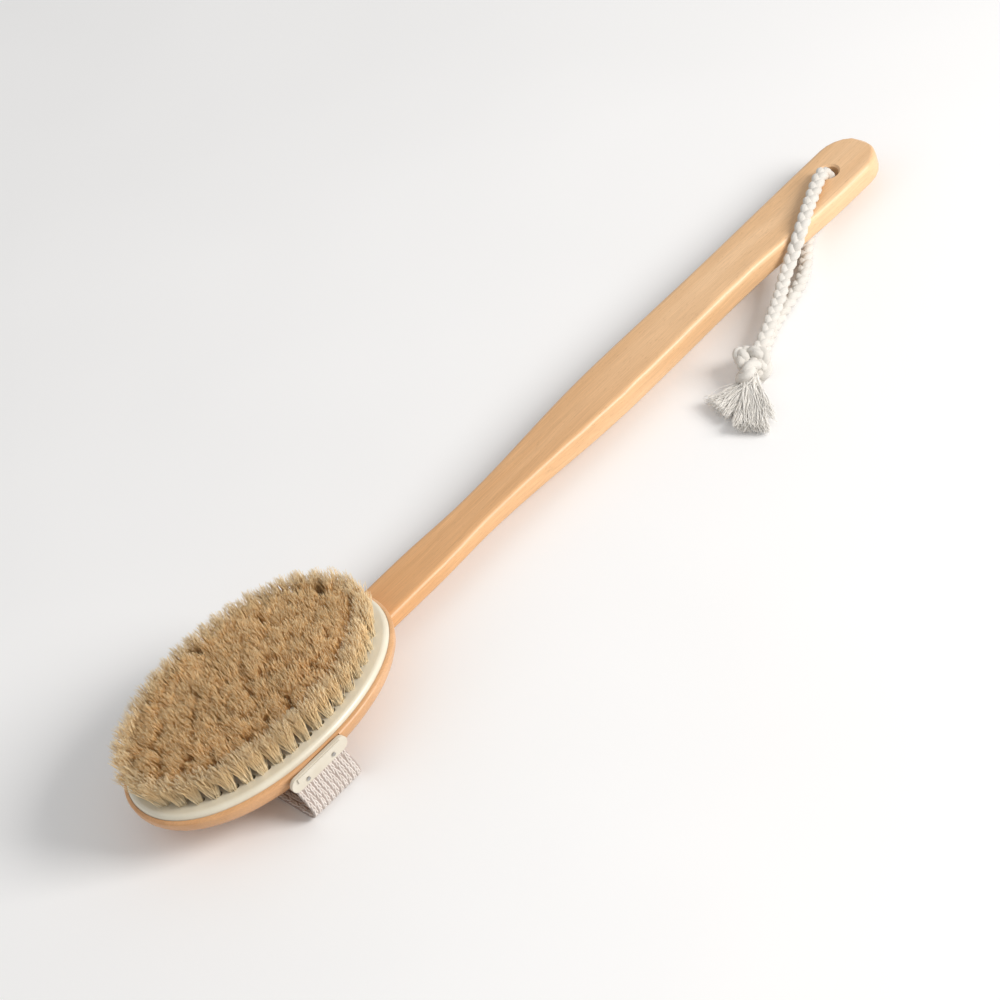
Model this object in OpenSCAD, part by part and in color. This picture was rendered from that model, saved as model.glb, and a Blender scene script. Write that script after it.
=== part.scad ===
// Long-handled body dry brush. It lies on its back, bristles up, as it is put down after use.
// X runs along the handle, Z is up, and z = 0 is the surface it lies on.

/* [Head] */
// Length of the wooden head
head_l = 123; // [122:0.5:126]
// Width of the wooden head
head_w = 78.4; // [78:0.2:81]
// Depth of the domed back below its widest line
dome_h = 13.2; // [12:0.2:13.4]
// Length of the bristle plate
plate_l = 120; // [116:0.5:120]
// Width of the bristle plate
plate_w = 74.4; // [70:0.2:74.6]
// Thickness of the bristle plate
plate_t = 4.6; // [4.4:0.1:4.8]

/* [Bristles] */
// Free length of the bristles above the plate
bristle_l = 16; // [12:1:22]
// Number of tufts around the border
border_count = 42; // [36:1:44]
// Distance between rows along the head
row_pitch = 5.4; // [5:0.1:5.4]
// Distance between tufts across a row
tuft_pitch = 5.6; // [5:0.1:5.8]
// Outward lean of the border tufts in degrees
border_tilt = 12; // [8:1:16]

/* [Handle] */
// Length of the handle outside the head
handle_l = 298; // [296:1:320]
// Width beside the head
shoulder_w = 20.4; // [18:0.2:21]
// Width of the neck
neck_w = 17.6; // [15:0.2:19]
// Width of the first swelling
belly_w = 24.2; // [21:0.2:27]
// Width of the waist before the grip end
waist_w = 22.8; // [19:0.2:24]
// Width of the rounded end
end_w = 27; // [25:0.2:28]
// Thickness beside the head
thin_t = 7.6; // [7:0.2:8.4]
// Thickness of the first swelling
thick_t = 10.6; // [9.6:0.2:11]
// Thickness of the rounded end
end_t = 9.6; // [9:0.2:9.8]
// Diameter of the hanging hole
hole_d = 8; // [7:0.5:8]

/* [Strap] */
// Width of the elastic hand strap
strap_w = 25.4; // [24:0.2:26]
// Thickness of the elastic
strap_t = 1.2; // [1:0.1:1.3]

/* [Rope] */
// Diameter of the hanging rope
rope_d = 5.8; // [5:0.2:5.8]

/* [Hidden] */
row_half = 9;
row_ids = [-row_half:row_half];
function row_name(i) = str("tufts_row_", i + row_half < 9 ? "0" : "", i + row_half + 1);

// Heights above the surface
back_z = 6.2;                       // lowest point of the domed back
wide_z = back_z + dome_h;           // widest line of the head
ledge_z = wide_z + 1.2;             // wooden ledge around the plate
plate_z = ledge_z + 2.2;            // top of the plate
floor_z = plate_z - plate_t;        // bottom of the recess under the plate
mid_z = 12.4;                       // middle plane of the handle
end_drop = 1.3;                     // how far the grip end dips below it

// Wooden head
oval_power = 2.1;                   // a little fuller than an ellipse
oval_steps = 96;
dome_power = 2.5;                   // fullness of the dome from side to bottom
seat_x = head_l / 2 - 2.6;          // flat seat of the handle's shoulder
seat_half_w = 12;
seat_clear = 0.7;                   // free height above the handle at the seat
shoulder_r = 1.6;                   // rounded shoulder beside the ledge
recess_gap = 0.15;
boss_w = [6, 22];                   // widths where the socket's swelling starts and ends
boss_low_z = [9, 7.2];              // its underside at the same two places
boss_top_z = wide_z - 1;
boss_start = 4;
tongue_l = 34;
tongue_w = 10;
tongue_t = 5.4;
fit_gap = 0.1;                      // running clearance around the tongue
end_gap = 1;                        // free space beyond the tongue

// Bristle plate and tufts
rim_r = 2;
border_inset = 6;
row_inset = 10;
hole_depth = 4;
tuft_hole_r = 1.2;
stem_r = 1.15;
tip_r = 2.25;
anchor = [2.2, 0.4, 0.6];
border_a = plate_l / 2 - border_inset;
border_b = plate_w / 2 - border_inset;
row_a = plate_l / 2 - row_inset;
row_b = plate_w / 2 - row_inset;
border_pitch = PI * (3 * (border_a + border_b)
    - sqrt((3 * border_a + border_b) * (border_a + 3 * border_b))) / border_count;

// Handle
end_x = seat_x + handle_l;
end_r = end_w / 2;
edge_r = 2.6;
hole_x = end_x - 22.8;
hole_z = -end_drop;                 // middle of the handle's thickness at the hole
straight_x = seat_x + 24;
neck_x = seat_x + 60;
belly_x = seat_x + 140;
waist_x = seat_x + 208;
grip_x = seat_x + 268;
bevel = 0.8;
bore_over = 1;

// Strap and clips
strap_x = -7.5;
notch_gap = 0.6;
notch_depth = 0.8;
strap_gap = 0.08;                   // keeps the strap clear of the wood and the clip
clip_l = 28.4;
clip_h = 6.4;
clip_t = 1.5;
rib_h = 2;
rib_t = 0.7;
rib_low = clip_h - rib_h - 0.3;
clip_low_z = ledge_z - clip_h + 0.6;
strap_in = head_w / 2 - notch_depth;  // inner face of the strap at the clip
strap_mid = strap_in + strap_t / 2 + strap_gap;
clip_in = strap_mid + strap_t / 2 + strap_gap;
pin_r = 0.6;
pin_head_r = 0.8;
pin_head_t = 0.5;
pin_spread = 6.6;
pin_z = floor_z - pin_r - 0.4;
pin_depth = 8;

// The brush is placed with the middle of its length at x = 0
tip_x = border_a + bristle_l * sin(border_tilt) + tip_r * cos(border_tilt);
head_x = (max(tip_x, head_l / 2) - end_x) / 2;

function ease(x, x0, x1, v0, v1) =
    let (u = min(1, max(0, (x - x0) / (x1 - x0)))) v0 + (v1 - v0) * (1 - cos(180 * u)) / 2;
function catmull(p, k, u) =
    let (a = p[max(k - 1, 0)], b = p[k], c = p[k + 1], d = p[min(k + 2, len(p) - 1)])
    0.5 * (2 * b + (c - a) * u + (2 * a - 5 * b + 4 * c - d) * u * u
           + (3 * b - a - 3 * c + d) * u * u * u);
function smooth(p, steps) = [
    for (k = [0:len(p) - 2]) for (s = [0:steps - 1]) catmull(p, k, s / steps),
    p[len(p) - 1]];
function unit(v) = v / norm(v);

// A closed skin over rings of equal length, each ring listed anticlockwise seen from its end
module skin(rings) {
    n = len(rings[0]);
    last = (len(rings) - 1) * n;
    points = [for (ring = rings) each ring];
    sides = [for (i = [0:len(rings) - 2]) for (j = [0:n - 1])
        let (a = i * n + j, b = i * n + (j + 1) % n) each [[b, a, b + n], [b + n, a, a + n]]];
    polyhedron(points, concat([[for (j = [0:n - 1]) j]], sides,
                              [[for (j = [0:n - 1]) last + n - 1 - j]]), convexity = 6);
}

// One ring of an oval of the given half length and half width at height z
function oval_ring(a, b, z) = [for (k = [0:oval_steps - 1])
    let (t = 360 * k / oval_steps, c = cos(t), s = sin(t))
    [a * sign(c) * pow(abs(c), 2 / oval_power), b * sign(s) * pow(abs(s), 2 / oval_power), z]];

// ---- Wooden head ----
module head_solid() {
    a = head_l / 2;
    b = head_w / 2;
    under = [for (t = [84:-7:0]) let (out = pow(cos(t), 2 / dome_power), down = pow(sin(t), 2 / dome_power))
        oval_ring(a * out, b * out, wide_z - dome_h * down)];
    over = [for (t = [18:18:90]) let (inset = shoulder_r * (1 - cos(t)))
        oval_ring(a - inset, b - inset, wide_z + (ledge_z - wide_z) * sin(t))];
    skin(concat(under, over));
}

// The swelling under the head that holds the handle's tongue
function boss_ring(u) =
    let (half_w = ease(u, 0, 1, boss_w[0], boss_w[1]) / 2,
         low = ease(u, 0, 1, boss_low_z[0], boss_low_z[1]),
         half_h = (boss_top_z - low) / 2)
    [for (t = [0:15:345]) let (c = cos(t), s = sin(t))
        [boss_start + (seat_x - boss_start) * u, half_w * sign(c) * sqrt(abs(c)),
         boss_top_z - half_h + half_h * sign(s) * sqrt(abs(s))]];

module socket_boss() skin([for (k = [0:10]) boss_ring(k / 10)]);

module head_base() color([0.80, 0.60, 0.42]) translate([head_x, 0, 0]) difference() {
    union() {
        head_solid();
        socket_boss();
    }
    skin([for (z = [floor_z, plate_z])
        oval_ring(plate_l / 2 + recess_gap, plate_w / 2 + recess_gap, z)]);
    translate([seat_x, -seat_half_w, 0]) cube([head_l, 2 * seat_half_w, mid_z + thin_t / 2 + seat_clear]);
    translate([seat_x - tongue_l - end_gap, -tongue_w / 2 - fit_gap, mid_z - tongue_t / 2 - fit_gap])
        cube([tongue_l + end_gap + head_l, tongue_w + 2 * fit_gap, tongue_t + 2 * fit_gap]);
    for (side = [-1, 1]) {
        translate([strap_x - strap_w / 2 - notch_gap, side > 0 ? strap_in : -strap_in - head_w, 0])
            cube([strap_w + 2 * notch_gap, head_w, ledge_z + 1]);
        pin_places(side) cylinder(r = pin_r, h = pin_depth + 1, $fn = 24);
    }
}

// ---- Bristle plate ----
module plate_solid() {
    a = plate_l / 2;
    b = plate_w / 2;
    rim = [for (t = [0:15:90]) let (inset = rim_r * (1 - cos(t)))
        oval_ring(a - inset, b - inset, plate_z - rim_r + rim_r * sin(t))];
    skin(concat([oval_ring(a, b, floor_z)], rim));
}

// Angles that share the border ellipse into steps of equal length
function border_angles(i = 0, t = 0) = i == border_count ? [] : concat([t], border_angles(i + 1,
    t + 180 / PI * border_pitch / norm([border_a * sin(t), border_b * cos(t)])));

module at_border_tufts() for (t = border_angles()) {
    out = atan2(border_a * sin(t), border_b * cos(t));
    translate([head_x + border_a * cos(t), border_b * sin(t), plate_z])
        rotate([0, 0, out]) rotate([0, border_tilt, 0]) children();
}

function row_places(i) = let (x = i * row_pitch, shift = abs(i) % 2 == 0 ? 0 : tuft_pitch / 2) [
    for (j = [-5:5]) let (y = j * tuft_pitch + shift)
        if (pow(x / row_a, 2) + pow(y / row_b, 2) < 1) [head_x + x, y, plate_z]];

module at_row_tufts(i) for (p = row_places(i)) translate(p) children();

module at_all_tufts() {
    at_border_tufts() children();
    for (i = row_ids) at_row_tufts(i) children();
}

module bristle_plate() color([0.90, 0.87, 0.78]) difference() {
    translate([head_x, 0, 0]) plate_solid();
    at_all_tufts() translate([0, 0, -hole_depth]) cylinder(r = tuft_hole_r, h = hole_depth + 1, $fn = 16);
}

module tuft() {
    foot = anchor[2] - hole_depth;
    rotate_extrude($fn = 16)
        polygon([[0, foot], [stem_r, foot], [stem_r, 0], [tip_r, bristle_l], [0, bristle_l]]);
}

module tufts_border() color([0.88, 0.76, 0.55]) at_border_tufts() tuft();
module tufts_row(i) color([0.78, 0.62, 0.38]) at_row_tufts(i) tuft();

module tuft_anchors() color("silver") at_all_tufts()
    translate([-anchor[0] / 2, -anchor[1] / 2, -hole_depth]) cube(anchor);

// ---- Hand strap ----
strap_side = [
    [strap_mid, ledge_z - 0.6], [strap_mid, clip_low_z + 2], [strap_mid, clip_low_z - 1.6],
    [strap_mid + 1.6, 10.4], [strap_mid + 3.8, 8], [strap_mid + 5, 5.2], [strap_mid + 4.4, 2.6],
    [strap_mid + 2, strap_t / 2 + 0.3], [strap_mid - 2.5, strap_t / 2], [strap_mid - 10, strap_t / 2]];
function mirrored(p) = [for (k = [len(p) - 1:-1:0]) [-p[k][0], p[k][1]]];
strap_path = let (side = [for (q = smooth(strap_side, 5)) [q[0], max(q[1], strap_t / 2)]])
    concat(side, mirrored(side));
function normal(p, k) = let (t = unit(p[min(k + 1, len(p) - 1)] - p[max(k - 1, 0)])) [-t[1], t[0]];
function band(p, half) = concat([for (k = [0:len(p) - 1]) p[k] + half * normal(p, k)],
                                [for (k = [len(p) - 1:-1:0]) p[k] - half * normal(p, k)]);

module hand_strap() color([0.84, 0.80, 0.78]) translate([head_x, 0, 0]) difference() {
    translate([strap_x - strap_w / 2, 0, 0]) rotate([90, 0, 90])
        linear_extrude(strap_w) polygon(band(strap_path, strap_t / 2));
    for (side = [-1, 1]) pin_places(side) translate([0, 0, -2 * strap_t])
        cylinder(r = pin_r, h = 3 * strap_t, $fn = 24);
}

// Children stand at each pin of one side, at the strap's inner face, pointing into the head
module pin_places(side) for (dx = [-pin_spread, pin_spread])
    translate([strap_x + dx, side * strap_in, pin_z]) rotate([side * 90, 0, 0]) children();

module clip(side) translate([head_x, 0, 0]) difference() {
    translate([strap_x, side * clip_in, clip_low_z]) mirror([0, side < 0 ? 1 : 0, 0]) union() {
        translate([-clip_l / 2 + clip_h / 2, 0, 0]) cube([clip_l - clip_h, clip_t, clip_h]);
        for (dx = [-1, 1]) translate([dx * (clip_l - clip_h) / 2, 0, clip_h / 2])
            rotate([-90, 0, 0]) cylinder(r = clip_h / 2, h = clip_t, $fn = 48);
        translate([-clip_l / 2 + clip_h / 2, clip_t, rib_low])
            cube([clip_l - clip_h, rib_t, rib_h]);
    }
    pin_places(side) translate([0, 0, strap_in - clip_in - clip_t - 1])
        cylinder(r = pin_r, h = clip_t + strap_t + 1, $fn = 24);
}

module clip_pins(side) color("gray") translate([head_x, 0, 0]) pin_places(side) {
    head_z = strap_in - clip_in - clip_t - pin_head_t;
    translate([0, 0, head_z]) cylinder(r = pin_head_r, h = pin_head_t, $fn = 24);
    translate([0, 0, head_z]) cylinder(r = pin_r, h = pin_depth - head_z, $fn = 24);
}

module strap_clip_near() color([0.88, 0.85, 0.76]) clip(-1);
module strap_clip_far() color([0.88, 0.85, 0.76]) clip(1);
module clip_pins_near() clip_pins(-1);
module clip_pins_far() clip_pins(1);

// ---- Handle ----
function handle_width(x) =
    x < neck_x ? ease(x, straight_x, neck_x, shoulder_w, neck_w)
    : x < belly_x ? ease(x, neck_x, belly_x, neck_w, belly_w)
    : x < waist_x ? ease(x, belly_x, waist_x, belly_w, waist_w)
    : ease(x, waist_x, grip_x, waist_w, end_w);
function handle_half(x) = x <= end_x - end_r ? handle_width(x) / 2
    : sqrt(max(0, end_r * end_r - pow(x - end_x + end_r, 2)));
function handle_thickness(x) = x < belly_x ? ease(x, straight_x, belly_x, thin_t, thick_t)
    : ease(x, waist_x, grip_x, thick_t, end_t);
function handle_mid(x) = ease(x, waist_x, grip_x, 0, -end_drop);
function handle_rise(x) = let (left = end_x - x, drop = left >= edge_r ? 0
        : edge_r - sqrt(edge_r * edge_r - pow(edge_r - left, 2)))
    handle_thickness(x) / 2 - drop;
function handle_ring(x) =
    let (w = handle_half(x), h = handle_rise(x), r = min(edge_r, 0.95 * w, 0.95 * h)) [
        for (corner = [[1, 1, 0], [-1, 1, 90], [-1, -1, 180], [1, -1, 270]])
            for (t = [0:22.5:90])
                [x, corner[0] * (w - r) + r * cos(corner[2] + t),
                 handle_mid(x) + corner[1] * (h - r) + r * sin(corner[2] + t)]];
handle_stations = concat(
    [for (k = [0:36]) seat_x + fit_gap + (end_x - end_r - seat_x - fit_gap) * k / 36],
    [for (t = [15:15:75]) end_x - end_r + end_r * sin(t)], [end_x - 0.1]);

module handle() color([0.84, 0.65, 0.44]) translate([head_x, 0, mid_z]) difference() {
    union() {
        skin([for (x = handle_stations) handle_ring(x)]);
        translate([seat_x - tongue_l, -tongue_w / 2, -tongue_t / 2])
            cube([tongue_l + 2, tongue_w, tongue_t]);
    }
    translate([hole_x, 0, hole_z]) {
        translate([0, 0, -end_t]) cylinder(r = hole_d / 2, h = 2 * end_t, $fn = 64);
        for (side = [0, 180]) rotate([side, 0, 0]) translate([0, 0, end_t / 2 - bevel])
            cylinder(r1 = hole_d / 2, r2 = hole_d / 2 + bevel + bore_over, h = bevel + bore_over, $fn = 64);
    }
}

// ---- Hanging rope ----
// Points are measured from the middle of the head, with z above the surface
over_route = [
    [333.2, -0.1, 11], [333.2, -0.1, 13], [332.8, -0.2, 15.4], [331, -0.7, 17.9], [328, -1.8, 19.1],
    [324, -3.2, 19.1], [320, -5.1, 19.05], [314, -8, 19.15], [308, -11, 19.3], [303, -13.3, 18.6],
    [298.3, -14.9, 17], [294.6, -15.6, 14.8], [291, -16.2, 12.6], [285.5, -17.4, 10.2],
    [278.7, -20.3, 9.1], [271.2, -24.5, 8.7], [263.2, -28.1, 8.3], [255.1, -31.9, 8], [248, -34.6, 7.4],
    [243, -36.4, 6.8]];
under_route = [
    [333.2, -0.1, 11], [333.2, -0.1, 9.5], [333, -0.2, 7.6], [332, -0.5, 4.6], [329, -1, 3.1],
    [322, -2.2, 3], [314, -4.4, 3], [306, -8.2, 3], [299, -13.4, 3], [292, -18.4, 3],
    [284, -22.2, 3], [275, -24.6, 3], [266, -26.8, 3], [258, -29.6, 3], [251, -32.8, 3.2],
    [246, -35.2, 3.8], [241.5, -37, 4.8]];
rope_ref = [0.25, 1, 0.1];
rope_sides = 10;
knot_at = [237.5, -37.8, 6.2];
knot_size = [19, 15, 12];
knot_turn = 38;                     // direction of the knot and the tassel
tassel_start = 6;
tassel_l = 29;
tassel_neck = 4.5;                  // half width beside the knot
tassel_side = [-10, 2];             // the long lobe's two edges
tassel_lobe = [15, 19];             // where the short lobe's corner lies
tassel_low = 0.2;
tassel_t = 6;

function ring_at(p, k, r) =
    let (t = unit(p[min(k + 1, len(p) - 1)] - p[max(k - 1, 0)]),
         u = unit(cross(rope_ref, t)), v = cross(t, u))
    [for (j = [0:rope_sides - 1]) p[k] + r * (cos(360 * j / rope_sides) * u + sin(360 * j / rope_sides) * v)];

module rope(route) {
    path = smooth(route, 3);
    skin([for (k = [0:len(path) - 1]) ring_at(path, k, rope_d / 2)]);
}

module rope_over() color([0.94, 0.93, 0.91]) translate([head_x, 0, 0]) rope(over_route);
module rope_under() color([0.94, 0.93, 0.91]) translate([head_x, 0, 0]) rope(under_route);

module rope_knot() color([0.92, 0.90, 0.87]) translate([head_x, 0, 0]) translate(knot_at)
    rotate([0, 0, knot_turn]) scale(knot_size / 2) sphere(r = 1, $fn = 32);

module rope_tassel() color([0.90, 0.87, 0.82]) translate([head_x + knot_at[0], knot_at[1], tassel_low])
    rotate([0, 0, knot_turn]) linear_extrude(tassel_t) polygon([
        [-tassel_start, tassel_neck], [-tassel_start, -tassel_neck],
        [-tassel_start - tassel_l, tassel_side[0]], [-tassel_start - tassel_l, tassel_side[1]],
        [-tassel_lobe[0], tassel_lobe[1]]]);

head_base();
bristle_plate();
tufts_border();
for (i = row_ids) tufts_row(i);
tuft_anchors();
strap_clip_near();
strap_clip_far();
clip_pins_near();
clip_pins_far();
hand_strap();
handle();
rope_over();
rope_under();
rope_knot();
rope_tassel();
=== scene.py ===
import math

import bpy
import numpy as np
from mathutils import Matrix, Vector


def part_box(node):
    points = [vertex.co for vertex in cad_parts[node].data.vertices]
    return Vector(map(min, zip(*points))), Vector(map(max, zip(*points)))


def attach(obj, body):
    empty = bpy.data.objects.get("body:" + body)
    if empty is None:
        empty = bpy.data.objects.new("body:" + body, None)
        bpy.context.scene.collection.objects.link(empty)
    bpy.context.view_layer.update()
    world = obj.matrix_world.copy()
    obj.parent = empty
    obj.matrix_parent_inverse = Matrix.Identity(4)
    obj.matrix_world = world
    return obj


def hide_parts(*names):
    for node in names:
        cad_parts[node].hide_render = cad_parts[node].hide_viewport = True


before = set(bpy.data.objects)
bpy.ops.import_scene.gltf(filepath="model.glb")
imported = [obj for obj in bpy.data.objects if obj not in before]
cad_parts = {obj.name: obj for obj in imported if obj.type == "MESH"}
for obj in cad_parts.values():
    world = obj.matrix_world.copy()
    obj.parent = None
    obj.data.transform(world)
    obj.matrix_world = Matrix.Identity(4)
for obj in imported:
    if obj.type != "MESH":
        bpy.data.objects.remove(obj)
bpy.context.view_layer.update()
MM = 0.001

# Places read from the frame
plate_low, plate_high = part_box("bristle_plate")
HEAD_X = (plate_low[0] + plate_high[0]) / 2
PLATE_Z = plate_high[2]
PLATE_A = (plate_high[0] - plate_low[0]) / 2
PLATE_B = (plate_high[1] - plate_low[1]) / 2
TIP_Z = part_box("tufts_row_10")[1][2]

# The camera is turned about its own line of sight, so the brush runs from corner to corner
CAMERA_AZIMUTH = math.radians(-30.9)
CAMERA_ELEVATION = math.radians(41.6)
CAMERA_ROLL = math.radians(-22.1)
CAMERA_DISTANCE = 1.3
CAMERA_LENS = 122.5
CAMERA_AIM = Vector((HEAD_X + 0.1224, -0.0123, PLATE_Z))
WORLD_LIGHT = 0.5


# ---- Camera and lights ----
def direction(azimuth, elevation):
    """The unit vector from the brush towards a camera or a light."""
    flat = math.cos(elevation)
    return Vector((math.sin(azimuth) * flat, -math.cos(azimuth) * flat, math.sin(elevation)))


def place_looking_at(obj, place, aim):
    bpy.context.scene.collection.objects.link(obj)
    obj.location = place
    obj.rotation_euler = (aim - place).to_track_quat("-Z", "Y").to_euler()


def add_camera():
    data = bpy.data.cameras.new("camera")
    data.lens = CAMERA_LENS
    data.sensor_width = 36
    data.clip_start = 0.01
    camera = bpy.data.objects.new("camera", data)
    bpy.context.scene.collection.objects.link(camera)
    back = direction(CAMERA_AZIMUTH, CAMERA_ELEVATION)
    level = Vector((math.cos(CAMERA_AZIMUTH), math.sin(CAMERA_AZIMUTH), 0))
    right = level * math.cos(CAMERA_ROLL) + back.cross(level) * math.sin(CAMERA_ROLL)
    camera.location = CAMERA_AIM + back * CAMERA_DISTANCE
    camera.rotation_euler = Matrix((right, back.cross(right), back)).transposed().to_euler()
    bpy.context.scene.camera = camera


def add_softbox(name, azimuth, elevation, distance, size, power, tint=(1, 1, 1)):
    data = bpy.data.lights.new(name, "AREA")
    data.size = size
    data.energy = power
    data.color = tint
    light = bpy.data.objects.new(name, data)
    away = direction(math.radians(azimuth), math.radians(elevation)) * distance
    place_looking_at(light, CAMERA_AIM + away, CAMERA_AIM)


def add_studio():
    add_softbox("key_light", azimuth=32, elevation=31, distance=1.6, size=0.7, power=23,
                tint=(1, 0.97, 0.94))
    add_softbox("fill_light", azimuth=-120, elevation=50, distance=2.0, size=1.4, power=3)
    world = bpy.data.worlds.new("studio")
    world.use_nodes = True
    background = world.node_tree.nodes["Background"]
    background.inputs["Color"].default_value = (1, 1, 1, 1)
    background.inputs["Strength"].default_value = WORLD_LIGHT
    bpy.context.scene.world = world
    bpy.context.scene.view_settings.view_transform = "Standard"


# ---- Mesh building ----
def unit(v):
    return v / np.linalg.norm(v, axis=-1, keepdims=True)


def add_mesh(name, points, face_groups, material, values=None):
    """A smooth mesh piece. face_groups are arrays of faces, each with its own number of corners."""
    sizes = np.concatenate([np.full(len(f), f.shape[1]) for f in face_groups])
    mesh = bpy.data.meshes.new(name)
    mesh.vertices.add(len(points))
    mesh.vertices.foreach_set("co", np.asarray(points, np.float32).ravel())
    mesh.loops.add(int(sizes.sum()))
    corners = np.concatenate([f.ravel() for f in face_groups])
    mesh.loops.foreach_set("vertex_index", corners.astype(np.int32))
    mesh.polygons.add(len(sizes))
    starts = np.concatenate([[0], np.cumsum(sizes)[:-1]])
    mesh.polygons.foreach_set("loop_start", starts.astype(np.int32))
    mesh.update(calc_edges=True)
    mesh.shade_smooth()
    for label, numbers in (values or {}).items():
        layer = mesh.attributes.new(label, "FLOAT", "POINT")
        layer.data.foreach_set("value", np.asarray(numbers, np.float32).ravel())
    mesh.materials.append(material)
    obj = bpy.data.objects.new(name, mesh)
    bpy.context.scene.collection.objects.link(obj)
    return obj


def carried(tangents, start):
    """A sideways direction at every ring of every line, carried along without twisting."""
    side = np.broadcast_to(np.asarray(start, float), tangents[:, 0].shape)
    sides = np.empty_like(tangents)
    for k in range(tangents.shape[1]):
        t = tangents[:, k]
        side = unit(side - (side * t).sum(-1, keepdims=True) * t)
        sides[:, k] = side
    return sides


def tubes(lines, radii, sides, start=(0.31, 0.95, 0.05)):
    """Closed tubes around many lines at once: lines is (tube, ring, 3), radii (tube, ring[, side])."""
    count, rings = lines.shape[:2]
    tangents = unit(np.gradient(lines, axis=1))
    u = carried(tangents, start)
    v = np.cross(tangents, u)
    angle = np.arange(sides) * 2 * math.pi / sides
    ring = np.cos(angle)[:, None] * u[:, :, None] + np.sin(angle)[:, None] * v[:, :, None]
    if radii.ndim == 2:
        radii = radii[..., None]
    points = lines[:, :, None] + radii[..., None] * ring
    index = np.arange(count * rings * sides).reshape(count, rings, sides)
    low, high = index[:, :-1], index[:, 1:]
    quads = np.stack([low, np.roll(low, -1, 2), np.roll(high, -1, 2), high], -1).reshape(-1, 4)
    return points.reshape(-1, 3), [quads, index[:, 0, ::-1], index[:, -1]]


def tube_values(count, rings, sides, tone):
    """How far along its tube each point is, from 0 to 1, and its tube's own random tone."""
    along = np.broadcast_to(np.linspace(0, 1, rings)[None, :, None], (count, rings, sides))
    return {"along": along, "tone": np.broadcast_to(tone[:, None, None], (count, rings, sides))}


def catmull(points, steps):
    """The points with a smooth curve's points between them."""
    p = np.asarray(points, float)
    out = []
    for k in range(len(p) - 1):
        a, b, c, d = p[max(k - 1, 0)], p[k], p[k + 1], p[min(k + 2, len(p) - 1)]
        for u in np.arange(steps) / steps:
            out.append(0.5 * (2 * b + (c - a) * u + (2 * a - 5 * b + 4 * c - d) * u**2
                              + (3 * b - a - 3 * c + d) * u**3))
    return np.array(out + [p[-1]])


def evenly(path, step):
    """The path resampled at about equal steps."""
    run = np.concatenate([[0], np.cumsum(np.linalg.norm(np.diff(path, axis=0), axis=1))])
    places = np.linspace(0, run[-1], max(2, int(round(run[-1] / step)) + 1))
    return np.stack([np.interp(places, run, path[:, i]) for i in range(3)], -1), places


# ---- Materials ----
class Look:
    """A material being made: its node tree and its shader."""

    def __init__(self, name, **shader):
        self.material = bpy.data.materials.new(name)
        self.material.use_nodes = True
        self.tree = self.material.node_tree
        self.shader = self.tree.nodes["Principled BSDF"]
        for socket, value in shader.items():
            self.shader.inputs[socket.replace("_", " ")].default_value = value

    def node(self, kind, inputs=None, **settings):
        node = self.tree.nodes.new("ShaderNode" + kind)
        for key, value in settings.items():
            setattr(node, key, value)
        self.connect(node, inputs or {})
        return node

    def connect(self, node, inputs):
        for key, value in inputs.items():
            if isinstance(value, bpy.types.NodeSocket):
                self.tree.links.new(value, node.inputs[key])
            else:
                node.inputs[key].default_value = value

    def noise(self, scale, detail=2, rough=0.5):
        """Noise whose grains measure one over scale, in metres, along each axis."""
        place = self.node("TexCoord").outputs["Object"]
        stretched = self.node("Mapping", {"Vector": place, "Scale": scale}).outputs["Vector"]
        return self.node("TexNoise", {"Vector": stretched, "Scale": 1, "Detail": detail,
                                      "Roughness": rough}).outputs["Fac"]

    def ramp(self, value, *stops):
        """Colours at stops of (place, colour) along a value."""
        ramp = self.node("ValToRGB", {"Fac": value})
        elements = ramp.color_ramp.elements
        while len(elements) < len(stops):
            elements.new(0.5)
        for element, (place, colour) in zip(elements, stops):
            element.position = place
            element.color = (*colour, 1)
        return ramp.outputs["Color"]

    def mix(self, amount, a, b, how="MIX"):
        mix = self.node("Mix", data_type="RGBA", blend_type=how)
        for socket, value in ((mix.inputs[0], amount), (mix.inputs[6], a), (mix.inputs[7], b)):
            if isinstance(value, bpy.types.NodeSocket):
                self.tree.links.new(value, socket)
            else:
                socket.default_value = value if socket == mix.inputs[0] else (*value, 1)
        return mix.outputs[2]

    def span(self, value, low, high, to_low, to_high):
        return self.node("MapRange", {"Value": value, "From Min": low, "From Max": high,
                                      "To Min": to_low, "To Max": to_high}).outputs["Result"]

    def shaded(self, colour, shade):
        """The colour multiplied by a plain number."""
        grey = self.node("CombineColor", {"Red": shade, "Green": shade, "Blue": shade})
        return self.mix(1.0, colour, grey.outputs["Color"], "MULTIPLY")

    def attribute(self, name):
        return self.node("Attribute", attribute_name=name).outputs["Fac"]

    def finish(self, colour, roughness=None, bump=None, depth=0.0001, strength=0.4):
        self.connect(self.shader, {"Base Color": colour})
        if roughness is not None:
            self.connect(self.shader, {"Roughness": roughness})
        if bump is not None:
            normal = self.node("Bump", {"Height": bump, "Strength": strength, "Distance": depth})
            self.connect(self.shader, {"Normal": normal.outputs["Normal"]})
        return self.material


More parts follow.
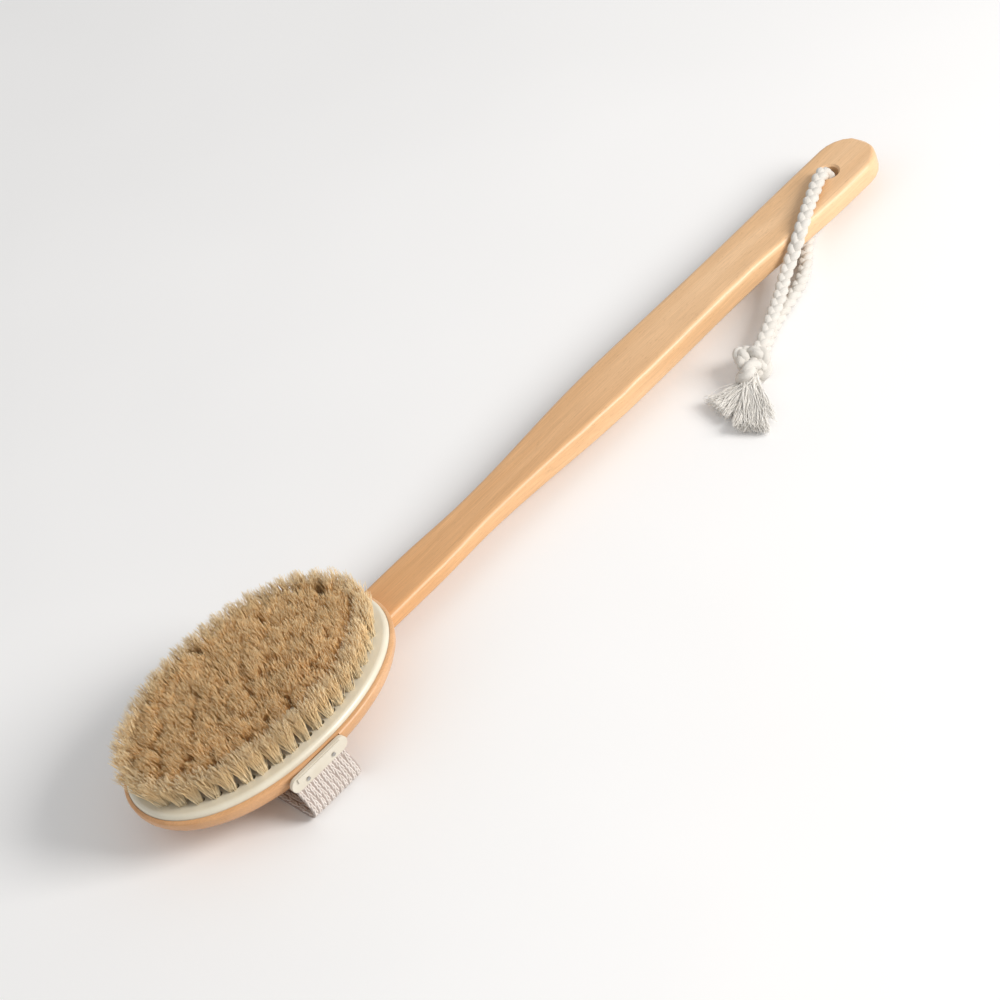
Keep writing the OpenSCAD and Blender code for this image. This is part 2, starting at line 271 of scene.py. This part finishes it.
def wood(name, light, mid, fleck, deep, fade):
    """Lacquered beech with its grain along X: broad bands, fine pores and short dark flecks.
    Its colour is multiplied by `deep` up to the first X of `fade`, and is plain past the second."""
    look = Look(name, Coat_Weight=0.25, Coat_Roughness=0.28)
    bands = look.noise((9, 150, 150), detail=3)
    pores = look.noise((60, 2600, 2600), detail=3, rough=0.6)
    flecks = look.noise((420, 4200, 4200), detail=1)
    colour = look.ramp(bands, (0.35, mid), (0.65, light))
    place = look.node("SeparateXYZ", {"Vector": look.node("TexCoord").outputs["Object"]})
    near = look.span(place.outputs["X"], *fade, 1, 0)
    colour = look.mix(near, colour, look.mix(1.0, colour, deep, "MULTIPLY"))
    colour = look.shaded(colour, look.span(pores, 0.3, 0.7, 0.86, 1.07))
    colour = look.mix(look.span(flecks, 0.66, 0.74, 0, 0.55), colour, fleck)
    rough = look.span(bands, 0.3, 0.7, 0.36, 0.48)
    return look.finish(colour, rough, pores, depth=0.00012, strength=0.25)


def moulded(name, light, dark, roughness):
    """Moulded plastic with faint clouds in its colour and a fine uneven surface."""
    look = Look(name, Roughness=roughness, Coat_Weight=0.2, Coat_Roughness=0.2)
    clouds = look.noise((70, 70, 70), detail=3)
    grain = look.noise((1500, 1500, 1500), detail=2)
    colour = look.ramp(clouds, (0.35, dark), (0.65, light))
    return look.finish(colour, None, grain, depth=0.00006, strength=0.2)


def drawn_steel(name):
    """Steel wire with fine marks along Z."""
    look = Look(name, Metallic=1.0)
    marks = look.noise((3000, 3000, 400), detail=2)
    colour = look.ramp(marks, (0.3, (0.36, 0.35, 0.34)), (0.7, (0.58, 0.57, 0.55)))
    return look.finish(colour, look.span(marks, 0.3, 0.7, 0.28, 0.5), marks, depth=0.00003)


def bristle(name, root, shaft, tip):
    """Natural bristle: its colour runs from root to tip and differs from hair to hair. The root and
    tip colours hold painted light and painted shade.
    """
    look = Look(name, Roughness=0.5, Specular_IOR_Level=0.3, Sheen_Weight=0.5, Sheen_Roughness=0.4,
                Sheen_Tint=(1.0, 0.70, 0.40, 1))
    # The ramp along each hair paints light and shade: the root colour stands for shade in the gaps at
    # the feet of inner tufts and for front light on the border feet, and the pale tip for light
    # falling on the tips.
    colour = look.ramp(look.attribute("along"), (0.0, root), (0.3, root), (0.62, shaft),
                       (0.9, shaft), (1.0, tip))
    colour = look.shaded(colour, look.span(look.attribute("tone"), 0, 1, 0.7, 1.0))
    streaks = look.noise((900, 900, 300), detail=2)
    return look.finish(look.mix(look.span(streaks, 0.35, 0.7, 0, 0.35), colour, shaft))


def cotton(name, light, dark, grain, sheen=0.25):
    """Matt yarn: soft fibres in the surface and a slightly different white from thread to thread."""
    look = Look(name, Roughness=0.9, Sheen_Weight=sheen, Sheen_Roughness=0.5)
    fibres = look.noise((grain, grain, grain), detail=3, rough=0.65)
    colour = look.ramp(look.attribute("tone"), (0.0, dark), (0.8, light))
    colour = look.shaded(colour, look.span(fibres, 0.25, 0.7, 0.84, 1.04))
    return look.finish(colour, None, fibres, depth=0.00015, strength=0.5)


def paper_floor():
    """Nearly white paper with broad, faint clouds."""
    look = Look("floor_paper", Roughness=0.8)
    clouds = look.noise((6, 6, 6))
    return look.finish(look.ramp(clouds, (0.3, (0.93, 0.93, 0.93)), (0.7, (0.96, 0.96, 0.96))))


WOOD_HEAD = wood("head_beech", (0.74, 0.44, 0.23), (0.66, 0.37, 0.175), (0.42, 0.22, 0.10),
                 deep=(0.93, 0.84, 0.72), fade=(HEAD_X - 0.06, HEAD_X + 0.06))
WOOD_HANDLE = wood("handle_beech", (0.84, 0.55, 0.31), (0.77, 0.48, 0.25), (0.46, 0.26, 0.12),
                   deep=(0.88, 0.72, 0.54), fade=(HEAD_X + 0.05, HEAD_X + 0.26))
PLATE = moulded("plate_plastic", (0.76, 0.71, 0.58), (0.71, 0.655, 0.52), 0.34)
CLIP = moulded("clip_plastic", (0.70, 0.645, 0.54), (0.63, 0.57, 0.46), 0.42)
STEEL = drawn_steel("pin_steel")
# Border tufts: the pale cream root is painted light from the front, and the pale tip is painted light
# on the tips.
BRISTLE_BORDER = bristle("bristle_border", (1.0, 0.85, 0.58), (0.98, 0.73, 0.40), (1.0, 0.87, 0.62))
# Inner tufts: the dark root is painted shade in the gaps between tufts, and the pale tip is painted
# light on the tips.
BRISTLE_INNER = bristle("bristle_inner", (0.80, 0.42, 0.14), (0.97, 0.61, 0.26), (1.0, 0.83, 0.52))
COTTON = cotton("rope_cotton", (0.72, 0.69, 0.64), (0.62, 0.58, 0.52), 5000)
THREADS = cotton("tassel_cotton", (0.98, 0.95, 0.90), (0.92, 0.88, 0.81), 5000, sheen=0.6)
ELASTIC = cotton("strap_yarn", (0.83, 0.76, 0.71), (0.72, 0.64, 0.58), 4000)
# The strap's core is dark: painted shade that shows in the gaps between the stitches and at the
# strap's sides.
STRAP_CORE_SHADE = cotton("strap_core_painted_shade", (0.46, 0.38, 0.34), (0.38, 0.31, 0.27), 4000)


# ---- Hanging rope: places are in millimetres from the middle of the head, above the surface ----
ROPE_EXIT = (333.2, -0.1, 11)
OVER_ROUTE = [
    ROPE_EXIT, (333.2, -0.1, 13), (332.8, -0.2, 15.4), (331, -0.7, 17.9), (328, -1.8, 19.1),
    (324, -3.2, 19.1), (320, -5.1, 19.05), (314, -8, 19.15), (308, -11, 19.3), (303, -13.3, 18.6),
    (298.3, -14.9, 17), (294.6, -15.6, 14.8), (291, -16.2, 12.6), (285.5, -17.4, 10.2),
    (278.7, -20.3, 9.1), (271.2, -24.5, 8.7), (263.2, -28.1, 8.3), (255.1, -31.9, 8),
    (248, -34.6, 7.4), (243, -36.4, 6.8)]
UNDER_ROUTE = [
    ROPE_EXIT, (333.2, -0.1, 9.5), (333, -0.2, 7.6), (332, -0.5, 4.6), (329, -1, 3.1),
    (322, -2.2, 3), (314, -4.4, 3), (306, -8.2, 3), (299, -13.4, 3), (292, -18.4, 3),
    (284, -22.2, 3), (275, -24.6, 3), (266, -26.8, 3), (258, -29.6, 3), (251, -32.8, 3.2),
    (246, -35.2, 3.8), (241.5, -37, 4.8)]
PLAIT_STEP = 0.45 * MM
PLAIT_PITCH = 14 * MM
PLAIT_SWING = 1.2 * MM      # how far a strand swings across the plait
PLAIT_DEPTH = 0.8 * MM      # and through its thickness
STRANDS = 3
STRAND_R = 1.72 * MM
STRAND_TONES = np.array([0.9, 0.6, 0.75])
YARNS = 7                   # in each strand; they stand out of it by this share of its radius
YARN_RELIEF = 0.04
YARN_TWIST = 14 * MM
KNOT_AT = np.array([236.8, -38.2, 6.4])
KNOT_ANGLE = math.radians(38)
KNOT_HALF = 9.5             # from the knot's middle to the side that the tassel leaves
KNOT_SIZE = (8.2, 5.2, 3.1)
KNOT_SCALE = 1.15           # how much thicker the rope is drawn in the knot


def in_frame(points_mm):
    return np.asarray(points_mm, float) * MM + np.array([HEAD_X, 0, 0])


def plait(path, start, scale):
    """Three strands that cross over each other in turn along the path."""
    line, run = evenly(path, PLAIT_STEP)
    tangents = unit(np.gradient(line, axis=0))[None]
    across = carried(tangents, start)[0]
    depth = np.cross(tangents[0], across)
    strands = []
    for k in range(STRANDS):
        turn = (run / (PLAIT_PITCH * scale) + k / STRANDS) * 2 * math.pi
        strands.append(line + across * (np.sin(turn) * PLAIT_SWING * scale)[:, None]
                       + depth * (np.sin(2 * turn) * PLAIT_DEPTH * scale)[:, None])
    return np.array(strands), run


def plaited_mesh(name, path, start=(0, 1, 0), scale=1.0, sides=28):
    """A plaited rope whose strands show the twist of their own yarns."""
    strands, run = plait(path, start, scale)
    angle = np.arange(sides) * 2 * math.pi / sides
    yarns = np.cos(YARNS * (angle[None, :] - run[:, None] / YARN_TWIST * 2 * math.pi))
    radii = STRAND_R * scale * (1 + YARN_RELIEF * yarns)[None].repeat(STRANDS, 0)
    points, faces = tubes(strands, radii, sides)
    return add_mesh(name, points, faces, COTTON, tube_values(STRANDS, len(run), sides, STRAND_TONES))


def trefoil(size):
    """The centreline of a tight overhand knot, its ends lost inside it."""
    t = np.linspace(0.02, 2 * math.pi - 0.02, 220)
    x = (np.sin(t) + 2 * np.sin(2 * t)) / 3
    y = (np.cos(t) - 2 * np.cos(2 * t)) / 3
    z = -np.sin(3 * t)
    c, s = math.cos(KNOT_ANGLE), math.sin(KNOT_ANGLE)
    x, y, z = x * size[0], y * size[1], z * size[2]
    return in_frame(KNOT_AT + np.stack([c * x - s * y, s * x + c * y, z], -1))


def knot_mesh():
    return plaited_mesh("knot_turns", trefoil(KNOT_SIZE), start=(0, 0, 1), scale=KNOT_SCALE)


# ---- Tassel: its lobes are (share of the threads, first end, last end), seen from above ----
TASSEL_LOBES = [
    (0.40, (214.8, -31), (210.6, -47.5)),
    (0.56, (208, -52.5), (214.3, -67)),
    (0.04, (219, -65), (224, -61))]
THREAD_COUNT = 820
THREAD_RINGS = 18
THREAD_SIDES = 4
THREAD_RADII = (0.11, 0.19)       # from thread to thread, in millimetres
THREAD_TAPER = 0.7
THREAD_REACH = (0.86, 1.02)       # share of the way to the lobe's edge
THREAD_END_Z = (1.0, 4.4)         # lowest end, and how much higher an end can be
THREAD_START_Z = (-3.4, 2.2)      # about the knot's middle
THREAD_START_SIDE = (-3.4, 3.4)
THREAD_SWING = (-1.6, 1.6)
THREAD_WAVE = (0.12, 0.42)
THREAD_LIFT = 0.35
SIDE_WAVES = (9, 16)              # radians of wave from start to end
LIFT_WAVES = (7, 14)
WAVE_PHASE = (0, 6.3)
TASSEL_Z = (0.35, 8.5)


def lobe_end(rng):
    """A place on the tassel's edge, on a lobe picked by its share of the threads."""
    pick = rng.random()
    share = 0
    for weight, first, last in TASSEL_LOBES:
        share += weight
        if pick <= share:
            break
    return np.array(first) + (np.array(last) - first) * rng.random()


def ripple(rng, u, size, waves):
    """Waves that grow along u to the given size."""
    return size * np.sin(u * rng.uniform(*waves) + rng.uniform(*WAVE_PHASE)) * u


def thread_line(rng, neck, u):
    """One thread of the tassel, from inside the knot to its loose end."""
    end = lobe_end(rng)
    end = neck + (end - neck) * rng.uniform(*THREAD_REACH)
    height = THREAD_END_Z[0] + THREAD_END_Z[1] * rng.random()
    start_z = KNOT_AT[2] + rng.uniform(*THREAD_START_Z)
    side = unit(np.array([-(end - neck)[1], (end - neck)[0]]))
    begin = neck + side * rng.uniform(*THREAD_START_SIDE) + (neck - end) * 0.12
    swing = rng.uniform(*THREAD_SWING) * np.sin(u * math.pi) * 1.2
    wave = ripple(rng, u, rng.uniform(*THREAD_WAVE), SIDE_WAVES)
    flat = begin + (end - begin) * u[:, None] + side * (swing + wave)[:, None]
    z = start_z + (height - start_z) * u**0.8 + ripple(rng, u, THREAD_LIFT, LIFT_WAVES)
    return np.column_stack([flat, np.clip(z, *TASSEL_Z)])


def tassel_mesh(rng):
    neck = KNOT_AT[:2] - KNOT_HALF * np.array([math.cos(KNOT_ANGLE), math.sin(KNOT_ANGLE)])
    u = np.linspace(0, 1, THREAD_RINGS)
    lines = in_frame(np.array([thread_line(rng, neck, u) for _ in range(THREAD_COUNT)]))
    radii = rng.uniform(*THREAD_RADII, (THREAD_COUNT, 1)) * MM
    points, faces = tubes(lines, radii * np.linspace(1.0, THREAD_TAPER, THREAD_RINGS), THREAD_SIDES)
    tone = rng.uniform(0.2, 1, THREAD_COUNT)
    return add_mesh("tassel_threads", points, faces, THREADS,
                    tube_values(THREAD_COUNT, THREAD_RINGS, THREAD_SIDES, tone))


def make_rope(rng):
    over_path = catmull(in_frame(OVER_ROUTE), 6)
    under_path = catmull(in_frame(UNDER_ROUTE), 6)
    over = plaited_mesh("rope_over_plait", over_path)
    under = plaited_mesh("rope_under_plait", under_path)
    knot = knot_mesh()
    tassel = tassel_mesh(rng)
    for piece, node in ((over, "rope_over"), (under, "rope_under"), (knot, "rope_knot"),
                        (tassel, "rope_tassel")):
        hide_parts(node)
        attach(piece, "handle")


# ---- Bristles ----
BORDER_COUNT = 42
BORDER_INSET = 6 * MM
BORDER_TILT = math.radians(8)
BORDER_HAIRS = (125, 3.0 * MM, 0.6 * MM)    # in a tuft: how many, their flare, how far tips stray
BORDER_LENGTH = (0.98, 1.04)                # share of the full length, from tuft to tuft
TILT_SCATTER = 0.035
TURN_SCATTER = 0.07
ROW_HALF = 9
ROW_PITCH = 5.4 * MM
ROW_INSET = 10 * MM
ROW_SIDE = 5                                # tufts to each side of a row's middle
ROW_HAIRS = (115, 2.75 * MM, 0.75 * MM)
ROW_LENGTH = (0.92, 1.04)
ROW_LEAN = 0.2               # how far the outermost inner tufts lean out to meet the border
LEAN_SCATTER = 0.07
TUFT_PITCH = 5.6 * MM
SHEAR = (-0.125, 0.09)       # lean of the whole field of bristles, as in the photo
STEM_R = 1.02 * MM
ROOT_DEPTH = 3.3 * MM
HAIR_RINGS = 6
HAIR_SIDES = 3
HAIR_RADII = np.array([0.14, 0.14, 0.14, 0.13, 0.11, 0.06]) * MM
HAIR_THICKNESS = (0.8, 1.15)
HAIR_LENGTH = (0.88, 1.0)
HAIR_ROUNDING = 0.05         # how much shorter a tuft's outermost hairs are
HAIR_BOW = 0.6 * MM
HAIR_CURL = 0.3 * MM
FLARE_POWER = 1.35
LEAST_RISE = 0.6
TUFT_TONE = 0.17             # spread of the tone from tuft to tuft, and from hair to hair
HAIR_TONE = 0.2


def border_tufts():
    """Foot and outward angle of each border tuft, at equal steps along its ellipse."""
    a, b = PLATE_A - BORDER_INSET, PLATE_B - BORDER_INSET
    t = np.linspace(0, 2 * math.pi, 4001)
    steps = np.hypot(np.diff(a * np.cos(t)), np.diff(b * np.sin(t)))
    run = np.concatenate([[0], np.cumsum(steps)])
    at = np.interp(np.arange(BORDER_COUNT) * run[-1] / BORDER_COUNT, run, t)
    return [((a * math.cos(s), b * math.sin(s)), math.atan2(a * math.sin(s), b * math.cos(s)))
            for s in at]


def row_tufts(i):
    """Feet of the tufts in row i; every second row is moved along by half a pitch."""
    a, b = PLATE_A - ROW_INSET, PLATE_B - ROW_INSET
    x = i * ROW_PITCH
    shift = 0 if abs(i) % 2 == 0 else TUFT_PITCH / 2
    places = [(x, j * TUFT_PITCH + shift) for j in range(-ROW_SIDE, ROW_SIDE + 1)]
    return [p for p in places if (p[0] / a)**2 + (p[1] / b)**2 < 1]


def tuft_hairs(rng, foot, lean, hairs, flare, loose, length):
    """Centrelines of one tuft's hairs, close together at the hole and spreading to their tips."""
    angle = rng.uniform(0, 2 * math.pi, hairs)
    ring = np.sqrt(rng.random(hairs))
    spot = np.stack([ring * np.cos(angle), ring * np.sin(angle)], -1)
    root = np.array(foot) + spot * STEM_R
    reach = length * rng.uniform(*HAIR_LENGTH, hairs) * (1 - HAIR_ROUNDING * ring**2)
    drift = rng.normal(0, loose, (hairs, 2))
    tip = root + lean * reach[:, None] + spot * flare + drift
    bow = rng.normal(0, HAIR_BOW, (hairs, 2))
    curl = rng.normal(0, HAIR_CURL, (hairs, 2))
    u = np.linspace(0, 1, HAIR_RINGS)
    lines = np.empty((hairs, HAIR_RINGS, 3))
    spread = u**FLARE_POWER
    for axis in (0, 1):
        lines[:, :, axis] = (root[:, None, axis] + (tip - root)[:, None, axis] * spread
                             + bow[:, None, axis] * np.sin(u * math.pi)
                             + curl[:, None, axis] * np.sin(u * 2.4 * math.pi))
    run = np.linalg.norm(tip - root, axis=1)
    rise = np.sqrt(np.maximum(reach**2 - run**2, (LEAST_RISE * reach)**2))
    lines[:, :, 2] = PLATE_Z - ROOT_DEPTH + (rise + ROOT_DEPTH)[:, None] * u
    lines[:, :, 0] += HEAD_X
    return lines


def tuft_piece(name, rng, tufts, material, node):
    """tufts lists (foot, lean, hairs, flare, loose, length) for every tuft of one piece."""
    lines = np.concatenate([tuft_hairs(rng, *tuft) for tuft in tufts])
    radii = np.broadcast_to(HAIR_RADII, lines.shape[:2])
    radii = radii * rng.uniform(*HAIR_THICKNESS, (len(lines), 1))
    points, faces = tubes(lines, radii, HAIR_SIDES)
    tuft_tone = [np.full(hairs, rng.normal(0.5, TUFT_TONE)) for _, _, hairs, *_ in tufts]
    tone = np.clip(np.concatenate(tuft_tone) + rng.normal(0, HAIR_TONE, len(lines)), 0, 1)
    piece = add_mesh(name, points, faces, material,
                     tube_values(len(lines), HAIR_RINGS, HAIR_SIDES, tone))
    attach(piece, "head")
    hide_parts(node)


def make_border(rng, length):
    tufts = []
    for foot, out in border_tufts():
        tilt = BORDER_TILT + rng.normal(0, TILT_SCATTER)
        out += rng.normal(0, TURN_SCATTER)
        lean = np.array([math.cos(out), math.sin(out)]) * math.sin(tilt) + SHEAR
        tufts.append((foot, lean, *BORDER_HAIRS, length * rng.uniform(*BORDER_LENGTH)))
    tuft_piece("border_bristles", rng, tufts, BRISTLE_BORDER, "tufts_border")


def make_row(rng, i, length):
    tufts = []
    for foot in row_tufts(i):
        out = np.array([foot[0] / PLATE_A, foot[1] / PLATE_B])
        lean = rng.normal(0, LEAN_SCATTER, 2) + SHEAR + ROW_LEAN * out
        tufts.append((foot, lean, *ROW_HAIRS, length * rng.uniform(*ROW_LENGTH)))
    number = f"{i + ROW_HALF + 1:02d}"
    tuft_piece("row_bristles_" + number, rng, tufts, BRISTLE_INNER, "tufts_row_" + number)


def make_bristles(rng):
    length = TIP_Z - PLATE_Z
    make_border(rng, length)
    for i in range(-ROW_HALF, ROW_HALF + 1):
        make_row(rng, i, length)


# ---- Hand strap ----
STRAP_MID = 39.08
# Half of its section, (across, height) in millimetres, from the clip to below the head
STRAP_SIDE = [
    (STRAP_MID, 20), (STRAP_MID, 16.8), (STRAP_MID, 13.2), (STRAP_MID + 1.6, 10.4),
    (STRAP_MID + 3.8, 8), (STRAP_MID + 5, 5.2), (STRAP_MID + 4.4, 2.6), (STRAP_MID + 2, 0.95),
    (STRAP_MID - 2.5, 0.7), (STRAP_MID - 10, 0.7)]
strap_low, strap_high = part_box("hand_strap")
STRAP_X = (strap_low[0] + strap_high[0]) / 2
STRAP_W = strap_high[0] - strap_low[0]
STRAP_STEP = 0.6 * MM
BAND_HALF_T = 0.26 * MM
BAND_EDGE = 0.3 * MM         # how much narrower the core band is on each side
BAND_COLUMNS = 13
KNIT_COLUMNS = 11
STITCH_PITCH = 1.9 * MM
STITCH_START = 0.4 * MM
STITCH_JITTER = 0.13 * MM
YARN_R = 0.38 * MM
LEG_SIDES = 6
LEG_RADII = np.array([0.3, 0.85, 1.0, 1.0, 0.85, 0.35]) * YARN_R


def strap_line():
    """The strap's middle line, its run, and the direction that points out of its outer face."""
    side = catmull([(0, y, z) for y, z in STRAP_SIDE], 8)
    whole = np.concatenate([side * (1, -1, 1), side[::-1]]) * MM
    line, run = evenly(whole, STRAP_STEP)
    tangents = unit(np.gradient(line, axis=0))
    return line, run, np.cross(tangents, (1, 0, 0))


def band_mesh(line, outward):
    """The flat core that fills the strap between its two knitted faces. Its dark colour is painted
    shade that shows between the stitches.
    """
    half_w = STRAP_W / 2 - BAND_EDGE
    across = np.linspace(-half_w, half_w, BAND_COLUMNS)
    corners = [(x, 1) for x in across] + [(x, -1) for x in across[::-1]]
    points = [[p + np.array([STRAP_X + x, 0, 0]) + n * side * BAND_HALF_T for x, side in corners]
              for p, n in zip(line, outward)]
    index = np.arange(len(line) * len(corners)).reshape(-1, len(corners))
    low, high = index[:-1], index[1:]
    quads = np.stack([low, high, np.roll(high, -1, 1), np.roll(low, -1, 1)], -1).reshape(-1, 4)
    caps = np.stack([index[0], index[-1][::-1]])
    return add_mesh("strap_band", np.array(points).reshape(-1, 3), [quads, caps], STRAP_CORE_SHADE,
                    {"tone": np.full(index.size, 0.5)})


def along(values, at, run):
    """The values of a line, such as its places, read at other runs."""
    return np.stack([np.interp(at, run, values[:, k]) for k in range(3)], -1)


def stitch_leg(strap, face, at, x):
    """The centreline of one leg of a stitch, at the runs `at` and the places `x` across."""
    line, run, outward = strap
    u = np.linspace(0, 1, len(LEG_RADII))
    lift = BAND_HALF_T + (0.16 * np.sin(u * math.pi) - 0.1) * MM
    at = np.clip(at, 0, run[-1])
    leg = along(line, at, run) + along(outward, at, run) * face * lift[:, None]
    leg[:, 0] += STRAP_X + x
    return leg


def knit_mesh(name, rng, strap, face):
    """One face of the knit: columns of slanting stitch legs that meet in points."""
    run = strap[1]
    pitch = (STRAP_W - 2 * YARN_R) / KNIT_COLUMNS
    u = np.linspace(0, 1, len(LEG_RADII))
    starts = np.arange(STITCH_START, run[-1] - 1.4 * STITCH_PITCH, STITCH_PITCH)
    legs = []
    for column in range(KNIT_COLUMNS):
        middle = (column + 0.5 - KNIT_COLUMNS / 2) * pitch
        offset = STITCH_PITCH * (0.5 if column % 2 else 0)
        for start in starts + offset:
            jitter = rng.normal(0, STITCH_JITTER, 3)
            at = start + (1.45 * u - 0.1) * STITCH_PITCH + jitter[1]
            for hand in (-1, 1):
                x = middle + hand * (0.1 + 0.56 * u) * pitch / 2 + jitter[0]
                legs.append(stitch_leg(strap, face, at, x))
    legs = np.array(legs)
    radii = np.broadcast_to(LEG_RADII, legs.shape[:2])
    points, faces = tubes(legs, radii, LEG_SIDES, start=(1, 0.1, 0.1))
    tone = rng.uniform(0.1, 1, len(legs))
    return add_mesh(name, points, faces, ELASTIC, tube_values(len(legs), len(u), LEG_SIDES, tone))


def make_strap(rng):
    strap = strap_line()
    band = band_mesh(strap[0], strap[2])
    knits = [knit_mesh("strap_knit_outer", rng, strap, 1),
             knit_mesh("strap_knit_inner", rng, strap, -1)]
    for piece in [band] + knits:
        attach(piece, "head")
    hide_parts("hand_strap")


# ---- The CAD nodes that stay ----
def dress(node, material, bevel=0.0):
    """Gives a CAD node its material, smooth curves and, if asked, small rounded edges."""
    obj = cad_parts[node]
    mesh = obj.data
    if "custom_normal" in mesh.attributes:
        mesh.attributes.remove(mesh.attributes["custom_normal"])
    mesh.shade_smooth()
    mesh.materials.clear()
    mesh.materials.append(material)
    obj.modifiers.new("weld", "WELD").merge_threshold = 1e-6
    if bevel:
        rounding = obj.modifiers.new("rounding", "BEVEL")
        rounding.width = bevel
        rounding.segments = 3
        rounding.angle_limit = math.radians(35)
    obj.modifiers.new("creases", "EDGE_SPLIT").split_angle = math.radians(32)
    obj.modifiers.new("flat_faces", "WEIGHTED_NORMAL").weight = 80


def dress_frame():
    dress("head_base", WOOD_HEAD)
    dress("handle", WOOD_HANDLE)
    dress("bristle_plate", PLATE)
    dress("tuft_anchors", STEEL)
    for side in ("near", "far"):
        dress("strap_clip_" + side, CLIP, bevel=0.22 * MM)
        dress("clip_pins_" + side, STEEL, bevel=0.15 * MM)


def add_floor():
    """A large sheet of paper, a little below the brush so that the two don't meet."""
    half, below = 6.0, -0.2 * MM
    points = np.array([(-half, -half, below), (half, -half, below), (half, half, below),
                       (-half, half, below)])
    floor = add_mesh("floor", points, [np.array([[0, 1, 2, 3]])], paper_floor())


add_camera()
make_rope(np.random.default_rng(11))
add_studio()
add_floor()
dress_frame()
make_bristles(np.random.default_rng(5))
make_strap(np.random.default_rng(7))
